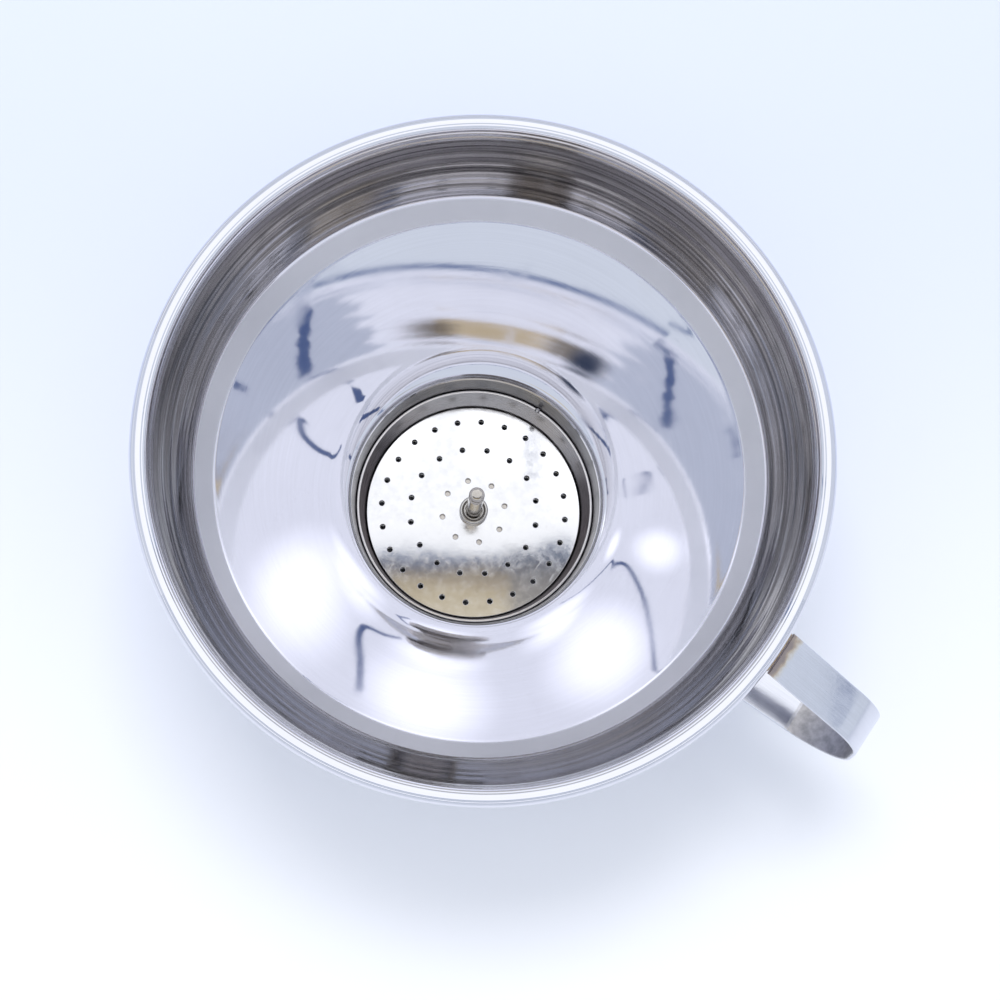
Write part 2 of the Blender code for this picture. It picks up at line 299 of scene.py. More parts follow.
class Nodes:
    """Short calls for building one material's node tree."""

    def __init__(self, name):
        self.material = bpy.data.materials.new(name)
        self.material.use_nodes = True
        self.tree = self.material.node_tree
        self.shader = self.tree.nodes["Principled BSDF"]
        self.place = self.tree.nodes.new("ShaderNodeTexCoord").outputs["Object"]

    def link(self, value, socket):
        if isinstance(value, bpy.types.NodeSocket):
            self.tree.links.new(value, socket)
        else:
            socket.default_value = value

    def math(self, operation, a, b=0.0, clamp=False):
        node = self.tree.nodes.new("ShaderNodeMath")
        node.operation = operation
        node.use_clamp = clamp
        self.link(a, node.inputs[0])
        self.link(b, node.inputs[1])
        return node.outputs[0]

    def product(self, first, *others):
        for other in others:
            first = self.math("MULTIPLY", first, other)
        return first

    def blend(self, a, b, share):
        """a and b added up, with the given share of each."""
        return self.math("ADD", self.math("MULTIPLY", a, share), self.math("MULTIPLY", b, 1.0 - share))

    def more(self, base, value, amount):
        """base with the given amount of value added."""
        return self.math("ADD", base, self.math("MULTIPLY", value, amount))

    def vector(self, operation, a, b=(0.0, 0.0, 0.0)):
        node = self.tree.nodes.new("ShaderNodeVectorMath")
        node.operation = operation
        self.link(a, node.inputs[0])
        self.link(b, node.inputs[1])
        return node.outputs["Value"] if operation in ("LENGTH", "DOT_PRODUCT") else node.outputs["Vector"]

    def combine(self, x, y, z):
        node = self.tree.nodes.new("ShaderNodeCombineXYZ")
        for socket, value in zip(node.inputs, (x, y, z)):
            self.link(value, socket)
        return node.outputs[0]

    def split(self, vector):
        node = self.tree.nodes.new("ShaderNodeSeparateXYZ")
        self.link(vector, node.inputs[0])
        return node.outputs

    def noise(self, vector, scale, detail=2.0, roughness=0.5):
        node = self.tree.nodes.new("ShaderNodeTexNoise")
        self.link(vector, node.inputs["Vector"])
        node.inputs["Scale"].default_value = scale
        node.inputs["Detail"].default_value = detail
        node.inputs["Roughness"].default_value = roughness
        return node.outputs["Fac"]

    def span(self, value, low, high, to_low, to_high):
        node = self.tree.nodes.new("ShaderNodeMapRange")
        node.interpolation_type = "SMOOTHSTEP"
        self.link(value, node.inputs["Value"])
        for end, number in zip(("From Min", "From Max", "To Min", "To Max"), (low, high, to_low, to_high)):
            node.inputs[end].default_value = number
        return node.outputs["Result"]

    def between(self, value, starts, ends):
        """1 between two places, rising over starts and falling over ends."""
        return self.product(self.span(value, *starts, 0.0, 1.0), self.span(value, *ends, 1.0, 0.0))

    def ramp(self, value, stops):
        node = self.tree.nodes.new("ShaderNodeValToRGB")
        self.link(value, node.inputs["Fac"])
        ramp = node.color_ramp
        while len(ramp.elements) < len(stops):
            ramp.elements.new(1.0)
        for element, (position, color) in zip(ramp.elements, stops):
            element.position = position
            element.color = (*color, 1.0)
        return node.outputs["Color"]

    def mix(self, share, a, b):
        node = self.tree.nodes.new("ShaderNodeMix")
        node.data_type = "RGBA"
        self.link(share, node.inputs["Factor"])
        for socket, value in ((node.inputs[6], a), (node.inputs[7], b)):
            self.link(value if isinstance(value, bpy.types.NodeSocket) else (*value, 1.0), socket)
        return node.outputs[2]

    def bump(self, height, distance, strength=1.0, under=None):
        node = self.tree.nodes.new("ShaderNodeBump")
        self.link(height, node.inputs["Height"])
        node.inputs["Distance"].default_value = distance
        node.inputs["Strength"].default_value = strength
        if under is not None:
            self.link(under, node.inputs["Normal"])
        return node.outputs["Normal"]

    def finish(self, color, roughness, normal=None):
        self.shader.inputs["Metallic"].default_value = 1.0
        self.link(color, self.shader.inputs["Base Color"])
        self.link(roughness, self.shader.inputs["Roughness"])
        if normal is not None:
            self.link(normal, self.shader.inputs["Normal"])
        return self.material

    def round_place(self):
        """(radius, height, way round as x, way round as y) of a point about the funnel's axis."""
        local = self.vector("SUBTRACT", self.place, (AXIS_X, 0.0, 0.0))
        x, y, z = self.split(local)
        radius = self.vector("LENGTH", self.combine(x, y, 0.0))
        safe = self.math("MAXIMUM", radius, 1e-4)
        return radius, z, self.math("DIVIDE", x, safe), self.math("DIVIDE", y, safe)

    def inner_side(self):
        """1 where the surface faces the funnel's axis, and 0 where it faces away."""
        _, _, cx, sy = self.round_place()
        facing = self.tree.nodes.new("ShaderNodeNewGeometry").outputs["True Normal"]
        outward = self.vector("DOT_PRODUCT", facing, self.combine(cx, sy, 0.0))
        return self.span(outward, -0.12, -0.04, 1.0, 0.0)

    def slant(self):
        """0 where the surface is seen square on, going to 1 at a grazing view."""
        return self.tree.nodes.new("ShaderNodeLayerWeight").outputs["Facing"]

    def spun(self, fine, slow):
        """A place for noise that draws rings round the axis: fine per metre across, slow per turn."""
        radius, z, cx, sy = self.round_place()
        across = self.math("MULTIPLY", self.math("ADD", radius, z), fine)
        up = self.math("MULTIPLY", self.math("SUBTRACT", radius, z), fine * 0.37)
        return self.combine(across, self.more(up, cx, slow), self.math("MULTIPLY", sy, slow))


def polished_steel():
    """Mirror polish, with a duller spun wall band and a satin band under it on the inside. The wall band and
    the neck wall carry painted shade where they are seen at a slant, and the wall band a painted sheen at a
    grazing view.
    """
    n = Nodes("polished_steel")
    rings = n.noise(n.spun(1500.0, 1.2), 1.0, 3.0, 0.6)
    hair = n.noise(n.spun(5200.0, 3.0), 1.0, 1.0)
    smudge = n.noise(n.place, 22.0, 4.0, 0.6)
    cloud = n.noise(n.place, 38.0, 3.0, 0.55)
    pits = n.noise(n.place, 420.0, 2.0)
    scuff = n.span(n.noise(n.spun(700.0, 9.0), 1.0, 2.0), 0.70, 0.80, 0.0, 1.0)
    radius, z, _, _ = n.round_place()
    depth = n.math("SUBTRACT", RIM_PLANE, z)
    inside = n.inner_side()
    wall = n.product(n.between(depth, WALL_STARTS, WALL_ENDS), inside)
    band = n.product(n.between(depth, BAND_STARTS, BAND_ENDS), inside)
    lip = n.between(depth, LIP_STARTS, LIP_ENDS)
    throat = n.product(n.span(depth, *THROAT_STARTS, 0.0, 1.0), inside)
    # Painted shade: the neck wall below the lip goes dark where it is seen at a slant.
    neck = n.product(throat, n.math("SUBTRACT", 1.0, lip), n.span(n.slant(), *NECK_SLANT, 0.0, 1.0))
    tone = n.blend(rings, smudge, 0.5)
    color = n.ramp(tone, ((0.25, (0.69, 0.695, 0.755)), (0.75, (0.765, 0.77, 0.835))))
    lines = n.noise(n.spun(900.0, 0.5), 1.0, 2.0, 0.6)
    drawn = n.ramp(lines, (
        (0.38, (0.20, 0.195, 0.21)), (0.50, (0.42, 0.41, 0.43)), (0.64, (0.64, 0.63, 0.66)),
    ))
    # Painted shade and painted sheen: the drawn colour goes darker at a middling slant and lighter again at a
    # grazing view, standing in for rings that hide one another.
    drawn = n.mix(n.span(n.slant(), 0.44, 0.56, 0.0, 0.35), drawn, (0.10, 0.10, 0.11))
    drawn = n.mix(n.span(n.slant(), 0.64, 0.76, 0.0, 0.55), drawn, (0.66, 0.65, 0.68))
    # Painted shade: the wall band takes the dark drawn colour where it is seen at a slant and keeps the
    # polished colour where it is seen square on.
    wall_slant_shade = n.product(wall, n.span(n.slant(), *WALL_SLANT, 0.0, 1.0))
    color = n.mix(wall_slant_shade, color, drawn)
    color = n.mix(band, color, n.ramp(smudge, ((0.3, (0.70, 0.705, 0.75)), (0.7, (0.77, 0.775, 0.82)))))
    # The neck's painted shade, as a dark ringed colour.
    color = n.mix(neck, color, n.ramp(rings, ((0.3, (0.19, 0.187, 0.195)), (0.7, (0.28, 0.275, 0.285)))))
    rough = n.more(n.span(smudge, 0.35, 0.70, 0.018, 0.045), hair, 0.022)
    rough = n.more(rough, n.span(cloud, 0.58, 0.72, 0.0, 1.0), 0.06)
    rough = n.more(rough, scuff, 0.08)
    rough = n.more(rough, wall, 0.02)
    rough = n.more(rough, neck, 0.24)
    rough = n.more(rough, band, 0.48)
    normal = n.bump(n.blend(rings, hair, 0.7), 0.0000013)
    normal = n.bump(pits, 0.0000010, 1.0, normal)
    return n.finish(color, rough, normal)


def satin_steel(name, low, high, base_rough):
    n = Nodes(name)
    rings = n.noise(n.spun(2600.0, 1.5), 1.0, 3.0, 0.7)
    blotch = n.noise(n.place, 60.0, 3.0, 0.6)
    tone = n.blend(rings, blotch, 0.6)
    color = n.ramp(tone, ((0.3, low), (0.7, high)))
    rough = n.more(n.span(rings, 0.3, 0.7, base_rough, base_rough + 0.09), blotch, 0.06)
    return n.finish(color, rough, n.bump(rings, 0.000006))


def seat_steel():
    """Dull drawn steel, with painted shade: its colour goes dark where it is seen at a slant, standing in for
    rings that shade one another.
    """
    n = Nodes("seat_steel")
    rings = n.noise(n.spun(2600.0, 1.5), 1.0, 3.0, 0.7)
    blotch = n.noise(n.place, 90.0, 3.0, 0.6)
    tone = n.blend(rings, blotch, 0.6)
    bright = n.ramp(tone, ((0.3, (0.60, 0.58, 0.58)), (0.7, (0.76, 0.74, 0.74))))
    dark = n.ramp(tone, ((0.3, (0.15, 0.145, 0.15)), (0.7, (0.26, 0.252, 0.26))))
    # Painted shade: bright where the ring is seen square on, dark where it is seen at a slant.
    color = n.mix(n.span(n.slant(), *SEAT_SLANT, 0.0, 1.0), bright, dark)
    rough = n.more(n.span(rings, 0.3, 0.7, 0.22, 0.31), blotch, 0.06)
    n.shader.inputs["Specular Tint"].default_value = (0.30, 0.28, 0.28, 1.0)
    return n.finish(color, rough, n.bump(rings, 0.000006))


def disc_steel():
    n = Nodes("disc_steel")
    waves = n.noise(n.place, 60.0, 1.0, 0.45)
    mottle = n.noise(n.place, 340.0, 3.0, 0.65)
    grain = n.noise(n.vector("MULTIPLY", n.place, (1.0, 9.0, 1.0)), 900.0, 2.0)
    scratches = n.noise(n.vector("MULTIPLY", n.place, (1.0, 0.12, 1.0)), 700.0, 2.0)
    scuff = n.span(scratches, 0.68, 0.80, 0.0, 1.0)
    color = n.ramp(mottle, ((0.3, (0.70, 0.70, 0.72)), (0.7, (0.79, 0.79, 0.81))))
    rough = n.more(n.span(mottle, 0.35, 0.70, 0.07, 0.15), grain, 0.05)
    rough = n.more(rough, scuff, 0.12)
    normal = n.bump(waves, 0.00013)
    normal = n.bump(mottle, 0.000013, 1.0, normal)
    return n.finish(color, rough, n.bump(grain, 0.0000025, 1.0, normal))


def heat_tint(n, tone, away, spread):
    """Steel's own colour, going to straw and brown towards a weld that is away metres off."""
    wobble = n.math("MULTIPLY", n.math("SUBTRACT", n.noise(n.place, 380.0, 3.0), 0.5), spread * 0.9)
    near = n.span(n.math("ADD", away, wobble), 0.0, spread, 1.0, 0.0)
    tint = n.ramp(near, (
        (0.0, (0.72, 0.72, 0.745)), (0.45, (0.70, 0.60, 0.42)),
        (0.8, (0.47, 0.34, 0.20)), (1.0, (0.30, 0.24, 0.22)),
    ))
    return n.mix(n.math("MULTIPLY", near, 0.9), tone, tint)


def strap_steel():
    n = Nodes("strap_steel")
    lengthways = n.vector("MULTIPLY", n.place, (60.0, 3200.0, 60.0))
    grain = n.noise(lengthways, 1.0, 3.0, 0.6)
    smudge = n.noise(n.place, 70.0, 4.0, 0.6)
    mottle = n.noise(n.place, 420.0, 3.0, 0.6)
    plain = n.ramp(n.blend(grain, smudge, 0.5), ((0.3, (0.62, 0.635, 0.70)), (0.7, (0.74, 0.755, 0.83))))
    x, _, z = n.split(n.place)
    upper = n.math("SUBTRACT", x, AXIS_X + STRAP_CORNERS[0][0] + BEAD_RADIUS)
    high = n.span(z, RIM_PLANE - 0.020, RIM_PLANE - 0.006, 0.05, 0.0)
    lower = n.math("SUBTRACT", z, STRAP_LOW.z + 0.0004)
    from_upper = n.math("ADD", n.math("MAXIMUM", upper, 0.0), high)
    away = n.math("MINIMUM", from_upper, n.math("MAXIMUM", lower, 0.0))
    inside = n.inner_side()
    plain = n.mix(inside, plain, n.ramp(mottle, ((0.3, (0.42, 0.41, 0.42)), (0.7, (0.66, 0.64, 0.65)))))
    color = heat_tint(n, plain, away, 0.0036)
    rough = n.more(n.span(smudge, 0.3, 0.7, 0.09, 0.17), grain, 0.06)
    rough = n.more(rough, inside, 0.24)
    normal = n.bump(grain, 0.0000035)
    return n.finish(color, rough, n.bump(mottle, 0.000016, 1.0, normal))


def weld_steel():
    n = Nodes("weld_steel")
    blotch = n.noise(n.place, 900.0, 4.0, 0.65)
    broad = n.noise(n.place, 240.0, 2.0)
    color = n.ramp(n.blend(blotch, broad, 0.5), (
        (0.30, (0.16, 0.13, 0.12)), (0.47, (0.44, 0.32, 0.19)),
        (0.60, (0.60, 0.48, 0.30)), (0.75, (0.52, 0.52, 0.56)),
    ))
    rough = n.span(blotch, 0.3, 0.7, 0.22, 0.42)
    return n.finish(color, rough, n.bump(blotch, 0.00006))


POLISHED = polished_steel()
SATIN = satin_steel("satin_steel", (0.36, 0.35, 0.34), (0.54, 0.53, 0.52), 0.14)
SEAT = seat_steel()
POST = satin_steel("post_steel", (0.34, 0.315, 0.29), (0.62, 0.59, 0.56), 0.05)
STRAP = strap_steel()
DISC = disc_steel()
WELD = weld_steel()


# ---------------------------------------------------------------------------------------------------------
# The funnel body.

def bump_at(distance, centre, half_width):
    """A smooth hump of height 1 round a place along a path."""
    away = abs(distance - centre) / half_width
    return 0.5 + 0.5 * cos(pi * away) if away < 1 else 0.0


def wall_rings(start, end):
    """The wall band from start to end, with a stepped shoulder and the rings that spinning leaves."""
    start, end = Vector(start), Vector(end)
    along = end - start
    length = along.length
    across = Vector((along.y, -along.x)).normalized()
    points = []
    for s in np.arange(0.0, length, 0.0002)[1:-1]:
        share = min(1.0, s / 0.003, (length - s) / 0.002)
        rise = share * (WALL_RING * sin(2 * pi * s / WALL_RING_PITCH + 0.8 * sin(s * 420)))
        rise += share * FINE_RING * sin(2 * pi * s / FINE_RING_PITCH)
        for place, height, half_width in SHOULDER_STEPS:
            rise += height * bump_at(s, place, half_width)
        points.append(tuple(start + along * (s / length) + across * rise))
    return points


def creased(curl_centre, curl):
    """The rolled rim with fine creases along its crown."""
    points = []
    for r, z in curl:
        angle = atan2(z, r - curl_centre[0])
        depth = sum(CREASE_DEPTH * bump_at(angle, place, CREASE_HALF_ANGLE) for place in CREASE_ANGLES)
        radius = CURL_RADIUS - depth
        points.append((curl_centre[0] + radius * cos(angle), curl_centre[1] + radius * sin(angle)))
    return points


def flared(point):
    """A point of the cone, which flattens a little just above the throat."""
    r, z = point
    share = max(0.0, FLARE_RADIUS - r) / (FLARE_RADIUS - THROAT_CORNER[0])
    return r, z + FLARE_RISE * share**2


def inner_path():
    """The inner surface, from the rolled rim's free end over the rim and down to the neck's edge."""
    curl_centre = (RIM_RADIUS - CURL_RADIUS, 0.0)
    wall_corner = (WALL_CORNER[0], -WALL_CORNER[1])
    knee = (KNEE_CORNER[0], -KNEE_CORNER[1])
    throat_depth = THROAT_CORNER[1] - FLARE_RISE
    throat = (neck_radius(throat_depth), -throat_depth)
    neck_end = (neck_radius(NECK_DEPTH), -NECK_DEPTH)
    to_corner = Vector(wall_corner) - Vector(curl_centre)
    lean = atan2(to_corner.y, to_corner.x) - (pi / 2 - asin(CURL_RADIUS / to_corner.length))
    curl = arc(curl_centre, CURL_RADIUS, CURL_END_ANGLE, lean % (2 * pi), radians(2.5))
    curl = creased(curl_centre, curl)
    cone = [flared(p) for p in bowed_line(knee, (THROAT_CORNER[0], -THROAT_CORNER[1]), CONE_SAGITTA, 96)]
    wall_bend = fillet(curl[-1], wall_corner, knee, WALL_FILLET)
    knee_bend = fillet(wall_corner, knee, cone[4], KNEE_BEND, radians(1))
    throat_bend = fillet(cone[-2], throat, neck_end, THROAT_FILLET)
    cone = [p for p in cone if throat_bend[0][0] + 0.0004 < p[0] < knee_bend[-1][0] - 0.0004]
    wall = wall_rings(curl[-1], wall_bend[0])
    neck = neck_lip(throat_bend[-1], neck_end) + [neck_end]
    return curl + wall + wall_bend + knee_bend[1:] + cone + throat_bend + neck


def neck_lip(start, end):
    """The neck's wall from start to end, with the rounded lip at its top."""
    start, end = Vector(start), Vector(end)
    along = end - start
    across = Vector((along.y, -along.x)).normalized()
    length = along.length
    points = []
    for s in [*np.arange(0.0, LIP_WIDTH, 0.0001)[1:], *np.arange(LIP_WIDTH, length, 0.002)]:
        rise = LIP_HEIGHT * bump_at(s, LIP_WIDTH / 2, LIP_WIDTH / 2)
        points.append(tuple(start + along * (s / length) + across * rise))
    return points


def outer_path():
    """The sheet's other face, back up from the neck's edge, which is level."""
    outside = offset_path(inner_path(), SHEET)
    taper = (outside[-2][0] - outside[-1][0]) / (outside[-2][1] - outside[-1][1])
    return [(outside[-1][0] - taper * (outside[-1][1] + NECK_DEPTH), -NECK_DEPTH)] + outside[-2::-1]


def off_cone(depth, distance):
    """The (radius, height) point at a distance straight out from the cone's outer face."""
    path = [Vector(p) for p in outer_path()]
    for low, high in zip(path, path[1:]):
        if low.y <= -depth <= high.y:
            way = (high - low).normalized()
            return low.lerp(high, (-depth - low.y) / (high.y - low.y)) + Vector((way.y, -way.x)) * distance
    raise ValueError(f"no point of the outer face lies {depth} below the rim")


def funnel_shell():
    mesh = turned_mesh("funnel_shell", inner_path() + outer_path(), AROUND)
    add_piece("funnel_shell", mesh, POLISHED, "funnel", "funnel_body")


def seat_ring():
    ledge_top = RIM_PLANE - LOWER_LOW.z + GAP
    bottom = ledge_top + SHEET
    top = RIM_PLANE - SEAT_HIGH.z
    outline = rounded((
        (neck_radius(top) - GAP - SHEET, -top, 0.00025),
        (neck_radius(top) - GAP, -top, 0.00025),
        (neck_radius(bottom) - GAP, -bottom, 0.0009),
        (SEAT_LEDGE_RADIUS, -bottom, 0.0002),
        (SEAT_LEDGE_RADIUS, -ledge_top, 0.0002),
        (neck_radius(ledge_top) - GAP - SHEET, -ledge_top, 0.0011),
    ))
    mesh = turned_mesh("neck_seat_ring", outline, 192)
    add_piece("neck_seat_ring", mesh, SEAT, "funnel", "seat_ring")


# ---------------------------------------------------------------------------------------------------------
# Strainer.

def plate(name, radius, centre_hole, top):
    """A round plate with three rings of holes, all edges slightly rounded, as a mesh."""
    edge = DISC_EDGE
    curve = bpy.data.curves.new(name, "CURVE")
    curve.dimensions = "2D"
    curve.fill_mode = "BOTH"
    curve.extrude = DISC_THICKNESS / 2 - edge
    curve.bevel_depth = edge
    curve.bevel_resolution = 2
    curve.offset = -edge
    circles = [(0.0, 0.0, radius, 192), (0.0, 0.0, centre_hole, 64)]
    for count, ring in HOLE_RINGS:
        for i in range(count):
            angle = 2 * pi * i / count
            circles.append((ring * cos(angle), ring * sin(angle), HOLE_RADIUS, 28))
    for x, y, size, sides in circles:
        spline = curve.splines.new("POLY")
        spline.points.add(sides - 1)
        for i, point in enumerate(spline.points):
            angle = 2 * pi * i / sides
            point.co = (x + size * cos(angle), y + size * sin(angle), 0.0, 1.0)
        spline.use_cyclic_u = True
    drawn = bpy.data.objects.new(name, curve)
    bpy.context.scene.collection.objects.link(drawn)
    bpy.context.view_layer.update()
    graph = bpy.context.evaluated_depsgraph_get()
    mesh = bpy.data.meshes.new_from_object(drawn.evaluated_get(graph))
    bpy.data.objects.remove(drawn)
    bpy.data.curves.remove(curve)
    mesh.transform(Matrix.Translation((AXIS_X, 0.0, top - DISC_THICKNESS / 2)))
    shape = bmesh.new()
    shape.from_mesh(mesh)
    bmesh.ops.remove_doubles(shape, verts=shape.verts, dist=1e-6)
    bmesh.ops.recalc_face_normals(shape, faces=shape.faces)
    for edge_of in shape.edges:
        level = [abs(face.normal.z) > 0.999 for face in edge_of.link_faces]
        edge_of.smooth = len(set(level)) == 1
    shape.to_mesh(mesh)
    shape.free()
    for face in mesh.polygons:
        face.use_smooth = True
    return mesh


def strainer_discs():
    upper_radius = (DISC_HIGH.x - DISC_LOW.x) / 2
    lower_radius = (LOWER_HIGH.x - LOWER_LOW.x) / 2
    upper = plate("strainer_cover_plate", upper_radius, POST_RADIUS + GAP, DISC_HIGH.z)
    lower = plate("strainer_base_plate", lower_radius, TENON_RADIUS + GAP, LOWER_HIGH.z)
    add_piece("strainer_cover_plate", upper, DISC, "strainer_cover", "upper_strainer_disc")
    add_piece("strainer_base_plate", lower, DISC, "strainer_base", "lower_strainer_disc")


def post():
    top = POST_HIGH.z - RIM_PLANE
    hub_top = -DISC_DEPTH - DISC_THICKNESS - GAP
    hub_bottom = hub_top - HUB_THICKNESS
    peen_top = WASHER_LOW.z - RIM_PLANE - GAP
    peen_bottom = POST_LOW.z - RIM_PLANE
    groove_top = top - POST_TIP
    groove_bottom = groove_top - GROOVE_WIDTH
    body = [
        (0.0, top), (0.0008, top), (0.00145, top - 0.00003), (0.00175, top - 0.00012),
        (0.00215, top - 0.00032), (0.00242, top - 0.00058), (POST_RADIUS, top - 0.00095),
        (POST_RADIUS, groove_top + 0.00012), (POST_RADIUS - 0.00008, groove_top),
        (GROOVE_RADIUS + 0.00012, groove_top - 0.00032), (GROOVE_RADIUS, groove_top - 0.00048),
        (GROOVE_RADIUS, groove_bottom + 0.00012), (GROOVE_RADIUS + 0.00010, groove_bottom - 0.00004),
        (POST_RADIUS - 0.00010, groove_bottom - 0.00034), (POST_RADIUS, groove_bottom - 0.00046),
    ]
    body += line((POST_RADIUS, groove_bottom - 0.0005), (POST_RADIUS, hub_top), 0.0015)
    body += [
        (POST_RADIUS, hub_top + 0.0002), (POST_RADIUS, hub_top), (HUB_RADIUS - 0.0002, hub_top),
        (HUB_RADIUS, hub_top - 0.0002), (HUB_RADIUS, hub_bottom + 0.0002),
        (HUB_RADIUS - 0.0002, hub_bottom),
        (TENON_RADIUS, hub_bottom), (TENON_RADIUS, peen_top), (PEEN_RADIUS - 0.00015, peen_top),
        (PEEN_RADIUS, peen_top - 0.0002), (PEEN_RADIUS - 0.0003, peen_bottom + 0.0003),
        (PEEN_RADIUS - 0.0010, peen_bottom + 0.00008), (0.0, peen_bottom),
    ]
    mesh = turned_mesh("strainer_centre_post", body, 96, on_axis=True, sharp=radians(40))
    add_piece("strainer_centre_post", mesh, POST, "strainer_base", "strainer_post")


def post_rings():
    """The eyelet round the post on the upper disc and the washer under the lower one."""
    inner = POST_RADIUS + GAP
    outer = (FERRULE_HIGH.x - FERRULE_LOW.x) / 2
    low, high = FERRULE_LOW.z - RIM_PLANE, FERRULE_HIGH.z - RIM_PLANE
    eyelet = rounded((
        (outer, low, 0.0002), (inner, low, 0.0001), (inner, high - 0.0006, 0.0002),
        (inner + 0.00055, high - 0.00085, 0.0005), (outer - 0.0009, high, 0.0004),
        (outer, high - 0.0002, 0.0005),
    ))
    mesh = turned_mesh("post_eyelet", eyelet, 96)
    add_piece("post_eyelet", mesh, SATIN, "strainer_cover", "post_ferrule")
    radius = (WASHER_HIGH.x - WASHER_LOW.x) / 2
    low, high = WASHER_LOW.z - RIM_PLANE, WASHER_HIGH.z - RIM_PLANE
    flat = rounded((
        (radius, low, 0.0002), (TENON_RADIUS + GAP, low, 0.0001),
        (TENON_RADIUS + GAP, high, 0.0001), (radius, high, 0.0002),
    ))
    mesh = turned_mesh("post_lower_washer", flat, 64)
    add_piece("post_lower_washer", mesh, SATIN, "strainer_base", "post_washer")


# ---------------------------------------------------------------------------------------------------------
# Handle and welds.

def strap_path():
    half = STRAP_THICKNESS / 2
    foot_top = off_cone(STRAP_FOOT_TOP_DEPTH, GAP + half)
    foot_end = off_cone(STRAP_FOOT_END_DEPTH, GAP + half)
    corners = [(r, -depth, bend) for r, depth, bend in STRAP_CORNERS]
    corners += [(foot_top.x, -STRAP_FOOT_TOP_DEPTH, STRAP_FOOT_BEND), (*foot_end, 0.0)]
    points = [corners[0][:2]]
    for before, corner, after in zip(corners, corners[1:], corners[2:]):
        bend = fillet(before[:2], corner[:2], after[:2], corner[2], radians(3))
        points += line(points[-1], bend[0], 0.002) + bend
    return points + line(points[-1], corners[-1][:2], 0.002) + [corners[-1][:2]]


def handle():
    path = [Vector(p) for p in strap_path()]
    frames = []
    for i, point in enumerate(path):
        way = (path[min(i + 1, len(path) - 1)] - path[max(i - 1, 0)]).normalized()
        frames.append((
            Vector((AXIS_X + point.x, 0.0, RIM_PLANE + point.y)),
            Vector((0.0, 1.0, 0.0)),
            Vector((-way.y, 0.0, way.x)),
        ))
    section = round_box(STRAP_WIDTH / 2, STRAP_THICKNESS / 2, 0.00035)
    mesh = swept_mesh("strap_handle", frames, section)
    add_piece("strap_handle", mesh, STRAP, "funnel", "handle_strap")


def ripple_bead(name, centre_at, half_angle, size, replaced):
    """A weld bead along an arc round the axis, with the overlapping scallops of a hand-laid weld."""
    steps = 120
    sides = 20
    verts = []
    for i in range(steps + 1):
        share = i / steps
        angle = (2 * share - 1) * half_angle
        r, z = centre_at
        ends = min(1.0, share * 14, (1 - share) * 14) ** 0.5
        scallop = 0.86 + 0.14 * abs(sin(share * pi * 11 + 0.5 * sin(share * 9)))
        radius = size * (0.12 + 0.88 * ends * scallop)
        for k in range(sides):
            a = 2 * pi * k / sides
            rr = r + radius * cos(a)
            verts.append((AXIS_X + rr * cos(angle), rr * sin(angle), RIM_PLANE + z + radius * sin(a)))
    faces = []
    for i in range(steps):
        for k in range(sides):
            m = (k + 1) % sides
            faces.append((i * sides + k, i * sides + m, (i + 1) * sides + m, (i + 1) * sides + k))
    faces.append(tuple(range(sides))[::-1])
    faces.append(tuple(steps * sides + k for k in range(sides)))
    mesh = closed_mesh(name, verts, faces, radians(70))
    add_piece(name, mesh, WELD, "funnel", replaced)


def welds():
    reach = CURL_RADIUS + GAP + BEAD_RADIUS
    top = (RIM_RADIUS - CURL_RADIUS + reach * cos(BEAD_ANGLE), reach * sin(BEAD_ANGLE))
    ripple_bead("handle_weld_top", top, STRAP_WIDTH / 2 / top[0], BEAD_RADIUS, "handle_upper_weld")
    low = off_cone(STRAP_FOOT_END_DEPTH + 2 * BEAD_RADIUS, 2 * GAP + BEAD_RADIUS)
    ripple_bead("handle_weld_bottom", tuple(low), STRAP_WIDTH / 2 / low.x, BEAD_RADIUS, "handle_lower_weld")


def tack_weld():
    low, high = TACK_LOW, TACK_HIGH
    centre = (low + high) / 2
    shape = bmesh.new()
    bmesh.ops.create_icosphere(shape, subdivisions=4, radius=1.0)
    half = (high - low) / 2
    for vert in shape.verts:
        bump = 1.0 - 0.10 * (1 + sin(vert.co.x * 9 + 1) * cos(vert.co.y * 7) * sin(vert.co.z * 8))
        vert.co = Vector([c + h * v * bump for c, h, v in zip(centre, half, vert.co)])
    mesh = bpy.data.meshes.new("seat_tack")
    shape.to_mesh(mesh)
    shape.free()
    mesh.shade_smooth()
    add_piece("seat_tack", mesh, SATIN, "funnel", "seat_ring_tack_weld")


funnel_shell()
seat_ring()
tack_weld()
strainer_discs()
post()
post_rings()
handle()
welds()


# ---------------------------------------------------------------------------------------------------------
# Stage, light and camera.

def only_shines(shader, strength):
    """Makes a shader shine evenly by itself and give nothing back."""
    shader.inputs["Base Color"].default_value = (0.0, 0.0, 0.0, 1.0)
    shader.inputs["Specular IOR Level"].default_value = 0.0
    shader.inputs["Emission Strength"].default_value = strength


def glowing(name, color, strength=1.0):
    """The material of a shining card of one colour."""
    material = bpy.data.materials.new(name)
    material.use_nodes = True
    shader = material.node_tree.nodes["Principled BSDF"]
    shader.inputs["Emission Color"].default_value = (*color, 1.0)
    only_shines(shader, strength)
    return material


def on_set_place(n):
    """(across, up) of a point in rim radii, as on_set takes them."""
    local = n.vector("SUBTRACT", n.place, (AXIS_X, 0.0, 0.0))
    across = n.vector("DOT_PRODUCT", local, (cos(SET_TURN) / RIM_RADIUS, sin(SET_TURN) / RIM_RADIUS, 0.0))
    up = n.vector("DOT_PRODUCT", local, (-sin(SET_TURN) / RIM_RADIUS, cos(SET_TURN) / RIM_RADIUS, 0.0))
    return across, up


